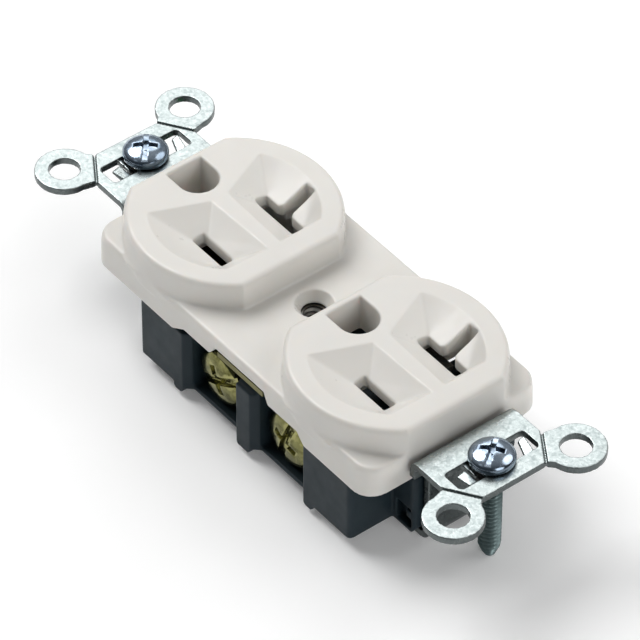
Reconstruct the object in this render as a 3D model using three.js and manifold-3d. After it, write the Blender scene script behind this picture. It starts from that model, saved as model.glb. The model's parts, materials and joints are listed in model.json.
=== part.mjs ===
// Duplex wall outlet, 20 A T-slot pattern, with a wrap-around steel strap.
// Millimetres. X runs along the strap, -Y is the hot side, +Z comes out of the faces.
// The origin is on the plate-screw axis, level with the lowest point. The heights below are measured
// from the front plane of the strap's ears, and every piece is raised by STRAP_PLANE at the end.
import * as THREE from 'three';
import { ConvexGeometry } from 'three/addons/geometries/ConvexGeometry.js';
import { mergeVertices } from 'three/addons/utils/BufferGeometryUtils.js';
import Module from 'manifold-3d';

const wasm = await Module();
wasm.setup();

// ---------------------------------------------------------------- driving dimensions
const GAP = 0.3; // running clearance between neighbouring pieces
const OVER = 1; // how far a cutter runs past the surface it opens

// faces and openings
const FACE_X = [-19.45, 19.45]; // centres of the two faces
const FACE_RADIUS = 16.7;
const FACE_FLAT = 14.05; // face centre to its flat ends
const FACE_TOP = 5.0;
const FACE_ROUND = 0.9; // rounded rim
const BLADE_X = 2.92; // blade centre from the face centre
const BLADE_Y = 6.35; // blade centre from the middle, 12.7 mm between blades
const SLOT_WIDTH = 2.2;
const HOT_SLOT = 7.2;
const NEUTRAL_SLOT = 9.2;
const ARM_TIP = 12.4; // outer end of the T slot's arm
const ARM_FILLET = 0.9; // where the arm meets the T slot's straight part
const SLOT_RELIEF = { along: 1.2, across: 1.6, arm: 0.8, top: 0.4 }; // hollow behind each slot
const GROUND_X = -8.98; // ground pin centre from the face centre
const GROUND_RADIUS = 3.25;
const GROUND_FLAT = -3.55; // flat side of the ground hole from its centre
const FUNNEL_RADIUS = 13.2;
const FUNNEL_FLOOR = 2.4;
const FUNNEL_SKEW = 0.96; // keeps the funnel's left facet flat

// cover
const COVER_HALF_LENGTH = 33.5;
const COVER_HALF_WIDTH = 16.6;
const COVER_CORNER = 3.6;
const COVER_TOP = 0.14;
const COVER_BOTTOM = -5.33;
const COVER_ROOF = -1.8; // inside of the front wall
const COVER_LANDS_X = [-17.5, 23.2]; // the cavity's wide part stops at the case screw bosses
const COVER_CAVITY = { halfWidth: 14.9, halfLength: 27, narrowHalfWidth: 10 };
const SIDE_STEP_Z = -3.6; // first step of the side walls, over the terminals
const SIDE_STEP_X = [[-14.2, -10.5], [18.9, 16.7]]; // foot and top of its sloping ends
const FIN_STEP_X = [[-4.3, -2.9], [9.8, 8.8]]; // second step, over the fins
const SLAB_EDGE = [ // inset x, inset y and height up the slab's edge
  [0, 0, COVER_BOTTOM],
  [0, 0.2, -0.8],
  [0.15, 0.45, -0.15],
  [0.6, 0.9, COVER_TOP],
];
const PLATE_HOLE = [[1.95, -1.5], [3.1, COVER_TOP]]; // radius and height down its countersink

// base
const BASE_LEFT = -22.3;
const BASE_RIGHT = 28.7;
const BASE_HALF_WIDTH = 16.0;
const BASE_TOP = -5.7;
const BASE_BOTTOM = -17.2;
const NOSE_END = 33.8;
const NOSE_HALF_WIDTH = 7.9;
const RECESS_X = [[-10.6, 1.4], [5.9, 17.6]]; // terminal recesses, left and right ends
const RECESS_CHAMFER = 1.1; // on the vertical edge at each recess's left end
const RECESS_WALL = 8.2;
const RECESS_FLOOR = -16.45; // GAP below the terminal heads
const LEDGE_EDGE = 14.8; // outer edge of the recess floor
const FOOT_BOTTOM = -18.3;
const FOOT_WIDTH = 2.4;
const FOOT_DEPTH = 2.6;
const RIB_EDGE = [[15.9, -6.2], [14.4, -4.6], [13.9, -3.4]]; // half width and height up the divider's edge
const NOSE_POCKET = { x: 29.6, wall: 0.8, depth: 1.6, z: [-16.4, -12.6] }; // in the sides of the nose
const NOSE_BLOCK = { x: 31.8, z: [-14.6, -13.1] };
const WIRE_HOLE = { spread: 3, y: 10.7, radius: 1.15, top: -15 }; // push-in wire holes

// strap
const STRAP = 1.25; // sheet thickness
const BEND = 2.0; // outside bend radius
const LEG_OUTSIDE = 35.4;
const STRAP_BOTTOM = -18.35;
const LEG_HALF_WIDTH = 6.5;
const YOKE_HALF_WIDTH = 9.3;
const YOKE_START = 37.5;
const YOKE_END = 46.8;
const YOKE_CHAMFER_X = 41.8; // where the break-off groove leaves the side edge
const YOKE_CHAMFER_Y = 6.0; // where it meets the end edge
const SHOULDER_Z = -3.4; // lower edge of the full-width shoulder
const EAR_X = 46.97;
const EAR_Y = 11.54;
const EAR_RADIUS = 4.65;
const EAR_HOLE_RADIUS = 2.42;
const EAR_NECK = [[4.0, -1.6], [-4.2, 1.6]]; // the neck's corners inside the ear, from its centre
const GROOVE_WIDTH = 0.6;
const GROOVE_DEPTH = 0.4;
const MOUNT_X = 41.67; // 83.34 mm between mounting screws
const MOUNT_SLOT = { halfWidth: 2.05, halfLength: 7.5, corner: 0.9 };
const TONGUE_TOP = -0.4;
const TONGUES = [ // corners of the tongues in each mounting slot, from the screw's axis
  [[2.5, -5.7], [2.5, -4.1], [-1.2, -4.1], [-1.2, -5.7]],
  [[2.5, 4.4], [2.5, 6.2], [-1.3, 7.1], [-1.3, 5.9]],
  [[-2.5, -3.9], [0.6, -3.6], [0.6, -3.0], [-2.5, -2.8]],
  [[-2.5, 2.8], [0.6, 3.0], [0.6, 3.6], [-2.5, 3.9]],
];

// terminals
const TERMINAL_X = [-5.4, 11.2];
const TERMINAL_Z = -11.45;
const TERMINAL_HEAD_FACE = 14.5; // outer face of the head from the middle plane
const TERMINAL_HEAD_RADIUS = 4.7;
const TERMINAL_HEAD_HEIGHT = 2.0;
const TERMINAL_SHANK_RADIUS = 2.08;
const TERMINAL_SHANK = 6.0;
const TERMINAL_BORE_END = 4.6;
const CLAMP = 1.0; // clamp plate thickness
const BRASS = 0.9; // contact sheet thickness
const PLATE_Y = 8.5; // inner face of the terminal plates
const PLATE_HALF_WIDTH = 4.5;
const PLATE_BOTTOM = -15.7;
const FLANGE_TOP = -2.1;
const LEAF_GAP = 0.85; // half the gap between contact leaves
const LEAF_HALF_LENGTH = 3.0;
const CLIP_BOTTOM = -14.5;
const FIN_X = [-2.5, 8.4];
const FIN_EDGE = 16.3;
const FIN_WINDOW_EDGE = 13.9; // outer end of the window that lets the fin break off
const FIN_ARM = 1.6; // width of the two arms beside the window
const WING_BOTTOM = -12.2; // the T slot's own pair of leaves
const WING_TOP = -5.9;
const WING_GAP = 1.0;

// ground parts
const GROUND_STRIP = [-15.7, -14.8]; // lower and upper face of the ground strip
const GROUND_LEAF = 2.5; // inner face of a ground leaf from the middle
const GROUND_LEAF_HALF_LENGTH = 2.5;
const GROUND_LEAF_TOP = -6;
const GROUND_STRIP_X = [-31.0, 13.2];
const GROUND_STRIP_HALF_WIDTH = 2.6;
const RIVET_X = [-12, 5.2];
const RIVET_HOLE_RADIUS = 1.6;
const RIVET_HEAD = 0.6;
const STRAP_PLANE = RIVET_HEAD + GAP - STRAP_BOTTOM; // the rivet heads are the lowest point
const GROUND_SCREW_Y = 11.2;
const GROUND_SCREW_Z = -10.9;
const GROUND_CLAMP_GAP = 2.1; // from the strap's tab to the clamp plate
const GROUND_TAB = { y: 10.1, halfWidth: 5.1, halfHeight: 4.3, corner: 1.6 };

// screws
const MOUNT_HEAD_RADIUS = 3.6;
const MOUNT_HEAD_HEIGHT = 2.2;
const MOUNT_SHANK_RADIUS = 1.75;
const MOUNT_LENGTH = 19.05;
const RETAINER = 0.9; // thickness of the fibre retainers
const RETAINER_RADIUS = 3.1;
const CASE_X = [-19.9, 26.1];
const CASE_Y = 13.3;
const CASE_HOLE_TOP = -1.2;
const CASE_HEAD_SEAT = -15.7; // underside of the heads, in counterbores 0.3 mm deeper
const CASE_SHANK_RADIUS = 1.0;
const CASE_HEAD_RADIUS = 1.8;

// ---------------------------------------------------------------- materials
function finish(color, roughness, metalness) {
  return new THREE.MeshStandardMaterial({ color, roughness, metalness });
}

const FACE_PLASTIC = finish(0xece8df, 0.45, 0.0);
const BASE_PLASTIC = finish(0x3a4148, 0.6, 0.0);
const GALVANISED = finish(0xc3c8ca, 0.4, 0.9);
const ZINC = finish(0xcfd6e2, 0.22, 1.0);
const BRASS_SHEET = finish(0xc4a45a, 0.35, 0.95);
const BRASS_SCREW = finish(0xb39a52, 0.3, 0.95);
const NICKEL = finish(0xc8c9c6, 0.28, 0.95);
const GREEN_SCREW = finish(0x2f7a45, 0.35, 0.7);
const FIBRE = finish(0x3b3a38, 0.8, 0.0);

// ---------------------------------------------------------------- solid helpers
function solid(geometry) {
  const bare = geometry.clone();
  bare.deleteAttribute('normal');
  bare.deleteAttribute('uv');
  const merged = mergeVertices(bare, 1e-5);
  return new wasm.Manifold(new wasm.Mesh({
    numProp: 3,
    vertProperties: new Float32Array(merged.attributes.position.array),
    triVerts: new Uint32Array(merged.index.array),
  }));
}

function join(first, ...others) {
  return others.reduce((sum, next) => sum.add(next), first);
}

function cut(body, ...tools) {
  return tools.reduce((rest, tool) => rest.subtract(tool), body);
}

// Closed body through a stack of outlines with equal point counts. An outline holds
// (x, y) points for axis z, (y, z) for axis x and (x, z) for axis y.
function stack(layers, axis = 'z') {
  const toSpace = {
    x: (p, level) => [level, p.x, p.y],
    y: (p, level) => [p.x, level, p.y],
    z: (p, level) => [p.x, p.y, level],
  }[axis];
  const clockwise = THREE.ShapeUtils.isClockWise(layers[0].outline);
  const outlines = layers.map(({ outline }) => (clockwise ? [...outline].reverse() : outline));
  const positions = outlines.flatMap((outline, i) => outline.flatMap((p) => toSpace(p, layers[i].level)));
  const count = outlines[0].length;
  const index = [];
  // (x, z) outlines run the other way round about +Y
  const face = (a, b, c) => (axis === 'y' ? index.push(a, c, b) : index.push(a, b, c));
  for (let layer = 0; layer + 1 < layers.length; layer += 1) {
    for (let i = 0; i < count; i += 1) {
      const a = layer * count + i;
      const b = layer * count + ((i + 1) % count);
      face(a, b, b + count);
      face(a, b + count, a + count);
    }
  }
  const top = (layers.length - 1) * count;
  for (const [a, b, c] of THREE.ShapeUtils.triangulateShape(outlines[0], [])) {
    face(a, c, b);
  }
  for (const [a, b, c] of THREE.ShapeUtils.triangulateShape(outlines.at(-1), [])) {
    face(top + a, top + b, top + c);
  }
  const geometry = new THREE.BufferGeometry();
  geometry.setAttribute('position', new THREE.Float32BufferAttribute(positions, 3));
  geometry.setIndex(index);
  return solid(geometry);
}

function prism(outline, from, to, axis = 'z') {
  return stack([{ outline, level: Math.min(from, to) }, { outline, level: Math.max(from, to) }], axis);
}

function points(...pairs) {
  return pairs.map(([a, b]) => new THREE.Vector2(a, b));
}

function box(x0, x1, y0, y1, z0, z1) {
  const [left, right] = [Math.min(x0, x1), Math.max(x0, x1)];
  const [front, back] = [Math.min(y0, y1), Math.max(y0, y1)];
  return prism(points([left, front], [right, front], [right, back], [left, back]), z0, z1);
}

function arc(cx, cy, radius, fromDegrees, toDegrees, steps) {
  return Array.from({ length: steps + 1 }, (_, i) => {
    const angle = THREE.MathUtils.degToRad(fromDegrees + ((toDegrees - fromDegrees) * i) / steps);
    return new THREE.Vector2(cx + radius * Math.cos(angle), cy + radius * Math.sin(angle));
  });
}

function disc(cx, cy, radius, steps = 24) {
  return arc(cx, cy, radius, 0, 360 - 360 / steps, steps - 1);
}

function roundedRectangle(halfX, halfY, radius, steps = 5) {
  return [
    ...arc(halfX - radius, halfY - radius, radius, 0, 90, steps),
    ...arc(radius - halfX, halfY - radius, radius, 90, 180, steps),
    ...arc(radius - halfX, radius - halfY, radius, 180, 270, steps),
    ...arc(halfX - radius, radius - halfY, radius, 270, 360, steps),
  ];
}

function shifted(outline, dx, dy) {
  return outline.map((p) => new THREE.Vector2(p.x + dx, p.y + dy));
}

// Body of revolution about Z from (radius, height) pairs that start and end on the axis.
function turned(pairs, steps) {
  const lathe = new THREE.LatheGeometry(points(...pairs), steps);
  lathe.rotateX(Math.PI / 2);
  return solid(lathe);
}

// Washer or bush about Z: a closed ring profile of (radius, height) pairs.
function ring(pairs, steps) {
  const profile = points(...pairs, pairs[0]);
  const lathe = new THREE.LatheGeometry(profile, steps);
  lathe.rotateX(Math.PI / 2);
  return solid(lathe);
}

const group = new THREE.Group();

function add(name, body, material, position = [0, 0, 0], rotation = [0, 0, 0]) {
  const { vertProperties, triVerts } = body.getMesh();
  const geometry = new THREE.BufferGeometry();
  geometry.setAttribute('position', new THREE.BufferAttribute(new Float32Array(vertProperties), 3));
  geometry.setIndex(new THREE.BufferAttribute(new Uint32Array(triVerts), 1));
  geometry.computeVertexNormals();
  const mesh = new THREE.Mesh(geometry, material);
  mesh.name = name;
  mesh.position.set(...position);
  mesh.position.z += STRAP_PLANE;
  mesh.rotation.set(...rotation);
  group.add(mesh);
}

// ---------------------------------------------------------------- cover
function faceOutline(inset) {
  const radius = FACE_RADIUS - inset;
  const flat = FACE_FLAT - inset;
  const corner = THREE.MathUtils.radToDeg(Math.acos(flat / radius));
  return [
    ...arc(0, 0, radius, corner, 180 - corner, 18),
    ...arc(0, 0, radius, 180 + corner, 360 - corner, 18),
  ];
}

function raisedFace(x) {
  const layers = [
    [0, COVER_ROOF],
    [0, FACE_TOP - FACE_ROUND],
    [FACE_ROUND * 0.3, FACE_TOP - FACE_ROUND * 0.3],
    [FACE_ROUND, FACE_TOP],
  ];
  return stack(layers.map(([inset, level]) => ({ outline: shifted(faceOutline(inset), x, 0), level })));
}

// Five-sided lead-in that narrows from the face to a blade slot.
function funnel(x, side, length) {
  const rim = [
    ...arc(0, 0, FUNNEL_RADIUS, 43, 125, 8),
    new THREE.Vector2(-3.6, 1.45),
    new THREE.Vector2(9.9, 1.1),
  ];
  const half = SLOT_WIDTH / 2;
  const floor = points(
    [BLADE_X - length / 2 + FUNNEL_SKEW, BLADE_Y - half],
    [BLADE_X + length / 2, BLADE_Y - half],
    [BLADE_X + length / 2, BLADE_Y + half],
    [BLADE_X - length / 2, BLADE_Y + half],
  );
  const at = (p, z) => new THREE.Vector3(x + p.x, side * p.y, z);
  const hull = [
    ...rim.map((p) => at(p, FACE_TOP)),
    ...rim.map((p) => at(p, FACE_TOP + OVER)),
    ...floor.map((p) => at(p, FUNNEL_FLOOR)),
  ];
  return solid(new ConvexGeometry(hull));
}

// D-shaped: a half circle whose sides run straight on to the flat.
function groundOutline(x) {
  const round = arc(0, 0, GROUND_RADIUS, -90, 90, 16);
  const straight = points([GROUND_FLAT, GROUND_RADIUS], [GROUND_FLAT, -GROUND_RADIUS]);
  return shifted([...round, ...straight], x + GROUND_X, 0);
}

function slotBox(x, side, length, along, across, bottom, top) {
  const reach = length / 2 + along;
  const half = SLOT_WIDTH / 2 + across;
  return box(x - reach, x + reach, side * (BLADE_Y - half), side * (BLADE_Y + half), bottom, top);
}

function tSlot(x) {
  const half = SLOT_WIDTH / 2;
  const edge = BLADE_Y + half;
  const fillet = edge + ARM_FILLET;
  const reach = NEUTRAL_SLOT / 2;
  return prism(shifted([
    ...points([-reach, BLADE_Y - half], [reach, BLADE_Y - half], [reach, edge]),
    ...arc(half + ARM_FILLET, fillet, ARM_FILLET, 270, 180, 5),
    ...points([half, ARM_TIP], [-half, ARM_TIP]),
    ...arc(-half - ARM_FILLET, fillet, ARM_FILLET, 0, -90, 5),
    ...points([-reach, edge]),
  ], x, 0), COVER_BOTTOM, FACE_TOP);
}

// Hollow behind the slots of a face, so that the front wall is thin around them.
function slotReliefs(x) {
  const { along, across, arm, top } = SLOT_RELIEF;
  const low = COVER_ROOF - OVER;
  const half = SLOT_WIDTH / 2 + arm;
  return [
    slotBox(x, -1, HOT_SLOT, along, across, low, top),
    slotBox(x, 1, NEUTRAL_SLOT, along, across, low, top),
    box(x - half, x + half, BLADE_Y, ARM_TIP + arm, low, top),
  ];
}

function coverSolid() {
  const slab = stack(SLAB_EDGE.map(([insetX, insetY, level]) => ({
    outline: roundedRectangle(COVER_HALF_LENGTH - insetX, COVER_HALF_WIDTH - insetY, COVER_CORNER - insetX),
    level,
  })));
  const { halfWidth, halfLength, narrowHalfWidth } = COVER_CAVITY;
  const cavity = join(
    box(...COVER_LANDS_X, -halfWidth, halfWidth, COVER_BOTTOM - OVER, COVER_ROOF),
    box(-halfLength, halfLength, -narrowHalfWidth, narrowHalfWidth, COVER_BOTTOM - OVER, COVER_ROOF),
  );
  const [[leftFoot, left], [rightFoot, right]] = SIDE_STEP_X;
  const [[finLeftFoot, finLeft], [finRightFoot, finRight]] = FIN_STEP_X;
  const sideWindow = prism(points(
    [leftFoot, COVER_BOTTOM - OVER / 2], [left, SIDE_STEP_Z],
    [finLeftFoot, SIDE_STEP_Z], [finLeft, COVER_ROOF], [finRight, COVER_ROOF], [finRightFoot, SIDE_STEP_Z],
    [right, SIDE_STEP_Z], [rightFoot, COVER_BOTTOM - OVER / 2],
  ), -COVER_HALF_WIDTH - OVER, COVER_HALF_WIDTH + OVER, 'y');
  let body = cut(join(cut(slab, cavity), ...FACE_X.map(raisedFace)), sideWindow);
  const [[holeRadius, holeEdge], [sinkRadius, sinkEdge]] = PLATE_HOLE;
  body = cut(body, stack([
    { outline: disc(0, 0, holeRadius), level: COVER_BOTTOM },
    { outline: disc(0, 0, holeRadius), level: holeEdge },
    { outline: disc(0, 0, sinkRadius), level: sinkEdge },
    { outline: disc(0, 0, sinkRadius), level: sinkEdge + OVER },
  ]));
  for (const face of FACE_X) {
    const slots = face + BLADE_X;
    const hotSlot = slotBox(slots, -1, HOT_SLOT, 0, 0, COVER_BOTTOM, FACE_TOP);
    const ground = prism(groundOutline(face), COVER_BOTTOM - OVER, FACE_TOP + OVER);
    const funnels = [funnel(face, -1, HOT_SLOT), funnel(face, 1, NEUTRAL_SLOT)];
    body = cut(body, ...funnels, hotSlot, tSlot(slots), ground, ...slotReliefs(slots));
  }
  for (const [x, y] of caseScrewPlaces()) {
    body = cut(body, prism(disc(x, y, CASE_SHANK_RADIUS + GAP, 12), COVER_BOTTOM - OVER, CASE_HOLE_TOP));
  }
  return body;
}

function caseScrewPlaces() {
  return CASE_X.flatMap((x) => [[x, -CASE_Y], [x, CASE_Y]]);
}

// ---------------------------------------------------------------- base
function terminalRecess([left, right], side) {
  const well = box(left, right, side * RECESS_WALL, side * (BASE_HALF_WIDTH + OVER), RECESS_FLOOR, OVER);
  const edge = box(
    left, right, side * LEDGE_EDGE, side * (BASE_HALF_WIDTH + OVER), FOOT_BOTTOM - OVER, RECESS_FLOOR + OVER,
  );
  const chamfer = prism(points(
    [left + 0.01, side * (BASE_HALF_WIDTH - RECESS_CHAMFER)], [left - RECESS_CHAMFER, side * BASE_HALF_WIDTH],
    [left - RECESS_CHAMFER, side * (BASE_HALF_WIDTH + OVER)], [left + 0.01, side * (BASE_HALF_WIDTH + OVER)],
  ), FOOT_BOTTOM - OVER, OVER);
  return join(well, edge, chamfer);
}

// Small pad with a rounded underside, below the inner corner of a block.
function foot(x, width, side) {
  const root = BASE_BOTTOM + 0.5;
  const outline = points(
    [x, root], [x, FOOT_BOTTOM + 0.4], [x + 0.35, FOOT_BOTTOM],
    [x + width - 0.6, FOOT_BOTTOM], [x + width, FOOT_BOTTOM + 0.7], [x + width, root],
  );
  return prism(outline, side * (BASE_HALF_WIDTH - FOOT_DEPTH), side * BASE_HALF_WIDTH, 'y');
}

function noseRecess(end, side) {
  const outer = side * (NOSE_HALF_WIDTH + OVER);
  const inner = side * (NOSE_HALF_WIDTH - NOSE_POCKET.depth);
  const stop = end * (NOSE_END - NOSE_POCKET.wall);
  const pocket = box(end * NOSE_POCKET.x, stop, inner, outer, ...NOSE_POCKET.z);
  return cut(pocket, box(end * NOSE_BLOCK.x, stop, inner, outer, ...NOSE_BLOCK.z));
}

// Divider between the two terminal recesses: its outer edges lean in above the blocks.
function divider() {
  const [left, right] = [RECESS_X[0][1], RECESS_X[1][0]];
  const rib = stack(RIB_EDGE.map(([half, level]) => ({
    outline: points([left, -half], [right, -half], [right, half], [left, half]),
    level,
  })));
  const middle = COVER_CAVITY.narrowHalfWidth;
  return cut(rib, box(left - OVER, right + OVER, -middle, middle, BASE_TOP, OVER));
}

// Pockets for the spring clips, the T slots' leaves and the ground strip, open at the top.
function contactPockets() {
  const channelFloor = GROUND_STRIP[0] - GAP;
  const stripEdge = GROUND_STRIP_HALF_WIDTH + GAP;
  const [stripStart, stripStop] = GROUND_STRIP_X;
  const pockets = [box(stripStart - OVER, stripStop + OVER, -stripEdge, stripEdge, channelFloor, OVER)];
  for (const face of FACE_X) {
    const x = face + BLADE_X;
    for (const [side, length] of [[-1, HOT_SLOT], [1, NEUTRAL_SLOT]]) {
      const inner = side * (BLADE_Y - LEAF_GAP - BRASS - GAP);
      const outer = side * (BLADE_Y + LEAF_GAP + BRASS + GAP);
      pockets.push(box(x - length / 2, x + length / 2, inner, outer, CLIP_BOTTOM - GAP, OVER));
    }
    const wing = WING_GAP + BRASS + GAP;
    pockets.push(box(x - wing, x + wing, BLADE_Y, ARM_TIP + 0.1, WING_BOTTOM - GAP, OVER));
    const leafEdge = GROUND_LEAF + BRASS + GAP;
    const leafHalf = GROUND_LEAF_HALF_LENGTH + 0.4;
    const pin = face + GROUND_X;
    pockets.push(box(pin - leafHalf, pin + leafHalf, -leafEdge, leafEdge, channelFloor, OVER));
  }
  return join(...pockets);
}

function baseSolid() {
  const block = shifted(
    roundedRectangle((BASE_RIGHT - BASE_LEFT) / 2, BASE_HALF_WIDTH, 0.7, 3), (BASE_RIGHT + BASE_LEFT) / 2, 0,
  );
  let body = join(
    prism(block, BASE_BOTTOM, BASE_TOP),
    prism(roundedRectangle(NOSE_END, NOSE_HALF_WIDTH, 0.7, 3), BASE_BOTTOM, BASE_TOP),
    divider(),
  );
  for (const side of [-1, 1]) {
    body = cut(body, ...RECESS_X.map((span) => terminalRecess(span, side)));
    body = join(
      body,
      foot(RECESS_X[0][0] - RECESS_CHAMFER - FOOT_WIDTH, FOOT_WIDTH, side),
      foot(RECESS_X[0][1], RECESS_X[1][0] - RECESS_CHAMFER - RECESS_X[0][1], side),
      foot(RECESS_X[1][1], FOOT_WIDTH, side),
    );
    for (const x of TERMINAL_X) {
      const boreOutline = disc(x, TERMINAL_Z, TERMINAL_SHANK_RADIUS + GAP, 20);
      const bore = prism(boreOutline, side * TERMINAL_BORE_END, side * (RECESS_WALL + OVER), 'y');
      const wireHoles = [-WIRE_HOLE.spread, WIRE_HOLE.spread].map((dx) => prism(
        disc(x + dx, side * WIRE_HOLE.y, WIRE_HOLE.radius, 14), BASE_BOTTOM - OVER, WIRE_HOLE.top,
      ));
      body = cut(body, bore, ...wireHoles);
    }
    body = cut(body, noseRecess(-1, side), noseRecess(1, side));
  }
  const channelHalf = LEG_HALF_WIDTH + GAP;
  const channelTop = STRAP_BOTTOM + STRAP + GAP;
  body = cut(
    body,
    contactPockets(),
    box(-NOSE_END - OVER, NOSE_END + OVER, -channelHalf, channelHalf, BASE_BOTTOM - OVER, channelTop),
  );
  for (const end of [-1, 1]) {
    const [wall, bottom] = [end * (NOSE_END + OVER), BASE_BOTTOM - OVER];
    const edge = points([wall, bottom], [end * (NOSE_END - 1.3), bottom], [wall, BASE_BOTTOM + 3.1]);
    body = cut(body, prism(edge, -NOSE_HALF_WIDTH - OVER, NOSE_HALF_WIDTH + OVER, 'y'));
  }
  const rivetHoles = RIVET_X.map(
    (x) => prism(disc(x, 0, RIVET_HOLE_RADIUS, 16), BASE_BOTTOM - OVER, GROUND_STRIP[0]),
  );
  const screwHoles = caseScrewPlaces().flatMap(([x, y]) => [
    prism(disc(x, y, CASE_SHANK_RADIUS + GAP, 12), BASE_BOTTOM - OVER, 0),
    prism(disc(x, y, CASE_HEAD_RADIUS + GAP, 16), BASE_BOTTOM - OVER, CASE_HEAD_SEAT + GAP),
  ]);
  return cut(body, ...rivetHoles, ...screwHoles);
}

// ---------------------------------------------------------------- strap
// Side profile of the bent sheet from one yoke end to the other, as (x, z) points.
function strapProfile() {
  const inner = BEND - STRAP;
  const legMiddle = LEG_OUTSIDE - STRAP;
  const upper = (end, radius, from, to) => arc(end * (legMiddle + BEND), -BEND, radius, from, to, 5);
  const lower = (end, radius, from, to) => (
    arc(end * (LEG_OUTSIDE - BEND), STRAP_BOTTOM + BEND, radius, from, to, 5)
  );
  const front = [
    ...points([YOKE_END, 0]),
    ...upper(1, BEND, 90, 180),
    ...lower(1, inner, 0, -90),
    ...lower(-1, inner, 270, 180),
    ...upper(-1, BEND, 0, 90),
    ...points([-YOKE_END, 0]),
  ];
  const back = [
    ...points([-YOKE_END, -STRAP]),
    ...upper(-1, inner, 90, 0),
    ...lower(-1, BEND, 180, 270),
    ...lower(1, BEND, -90, 0),
    ...upper(1, inner, 180, 90),
    ...points([YOKE_END, -STRAP]),
  ];
  return [...front, ...back];
}

function yokeOutline(end) {
  return points(
    [end * YOKE_START, -YOKE_HALF_WIDTH], [end * YOKE_CHAMFER_X, -YOKE_HALF_WIDTH],
    [end * YOKE_END, -YOKE_CHAMFER_Y], [end * YOKE_END, YOKE_CHAMFER_Y],
    [end * YOKE_CHAMFER_X, YOKE_HALF_WIDTH], [end * YOKE_START, YOKE_HALF_WIDTH],
  );
}

// Break-off ear: a washer-shaped ring on a short neck, with its groove and its hole.
function addEar(body, end, side) {
  const [cx, cy] = [end * EAR_X, side * EAR_Y];
  const grooveStart = new THREE.Vector2(end * YOKE_CHAMFER_X, side * YOKE_HALF_WIDTH);
  const grooveEnd = new THREE.Vector2(end * YOKE_END, side * YOKE_CHAMFER_Y);
  const neckCorners = EAR_NECK.map(([dx, dy]) => new THREE.Vector2(cx + end * dx, cy + side * dy));
  const neck = prism([grooveStart, grooveEnd, ...neckCorners], -STRAP, 0);
  const washer = prism(disc(cx, cy, EAR_RADIUS, 32), -STRAP, 0);
  const hole = prism(disc(cx, cy, EAR_HOLE_RADIUS, 28), -STRAP - OVER, OVER);
  return cut(join(body, neck, washer), hole, groove(grooveStart, grooveEnd));
}

function groove(from, to) {
  const along = to.clone().sub(from).normalize();
  const across = new THREE.Vector2(-along.y, along.x).multiplyScalar(GROOVE_WIDTH / 2);
  const start = from.clone().addScaledVector(along, -0.2);
  const stop = to.clone().addScaledVector(along, 0.2);
  const outline = [
    start.clone().add(across), start.clone().sub(across), stop.clone().sub(across), stop.clone().add(across),
  ];
  return prism(outline, -GROOVE_DEPTH, OVER);
}

function strapSolid() {
  const profile = strapProfile();
  const wideBand = prism(profile, -YOKE_HALF_WIDTH, YOKE_HALF_WIDTH, 'y');
  let body = prism(profile, -LEG_HALF_WIDTH, LEG_HALF_WIDTH, 'y');
  for (const end of [-1, 1]) {
    const shoulder = wideBand.intersect(
      box(end * (NOSE_END - 1), end * (YOKE_START + 1), -YOKE_HALF_WIDTH, YOKE_HALF_WIDTH, SHOULDER_Z, OVER),
    );
    body = join(body, shoulder, prism(yokeOutline(end), -STRAP, 0));
    for (const side of [-1, 1]) {
      // the band's corners, outside the sloping edge of the yoke
      const corner = points(
        [end * YOKE_CHAMFER_X, side * YOKE_HALF_WIDTH], [end * YOKE_END, side * YOKE_CHAMFER_Y],
        [end * (YOKE_END + OVER), side * YOKE_CHAMFER_Y], [end * (YOKE_END + OVER), side * YOKE_HALF_WIDTH],
      );
      body = addEar(cut(body, prism(corner, -STRAP - OVER, OVER)), end, side);
    }
    const { halfWidth, halfLength, corner } = MOUNT_SLOT;
    const slot = shifted(roundedRectangle(halfWidth, halfLength, corner, 4), end * MOUNT_X, 0);
    const tongues = TONGUES.map((corners) => (
      prism(shifted(points(...corners), end * MOUNT_X, 0), -STRAP, TONGUE_TOP)
    ));
    body = join(cut(body, prism(slot, -STRAP - OVER, OVER)), ...tongues);
  }
  for (const x of RIVET_X) {
    const hole = disc(x, 0, RIVET_HOLE_RADIUS, 16);
    body = cut(body, prism(hole, STRAP_BOTTOM - OVER, STRAP_BOTTOM + STRAP + OVER));
  }
  const { y, halfWidth, halfHeight, corner } = GROUND_TAB;
  const tab = shifted(roundedRectangle(halfWidth, halfHeight, corner, 4), y, GROUND_SCREW_Z);
  const tabHole = disc(GROUND_SCREW_Y, GROUND_SCREW_Z, TERMINAL_SHANK_RADIUS + GAP, 20);
  return cut(
    join(body, prism(tab, -LEG_OUTSIDE, STRAP - LEG_OUTSIDE, 'x')),
    prism(tabHole, -LEG_OUTSIDE - OVER, STRAP - LEG_OUTSIDE + OVER, 'x'),
  );
}

// ---------------------------------------------------------------- contacts
// U-shaped clip whose two leaves grip a blade, as (y, z) points; the inner leaf flares at its lip.
function clipOutline(side) {
  const leafInside = BLADE_Y + LEAF_GAP;
  const leafOutside = leafInside + BRASS;
  const innerLeaf = BLADE_Y - LEAF_GAP;
  const pairs = [
    [leafOutside, FLANGE_TOP], [leafInside, FLANGE_TOP], [leafInside, CLIP_BOTTOM + BRASS],
    [innerLeaf, CLIP_BOTTOM + BRASS], [innerLeaf, -5.6], [innerLeaf - 0.5, -4.6],
    [innerLeaf - 1.1, -4.6], [innerLeaf - BRASS, -5.8],
    [innerLeaf - BRASS, CLIP_BOTTOM], [leafOutside, CLIP_BOTTOM],
  ];
  return points(...pairs.map(([y, z]) => [side * y, z]));
}

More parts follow.
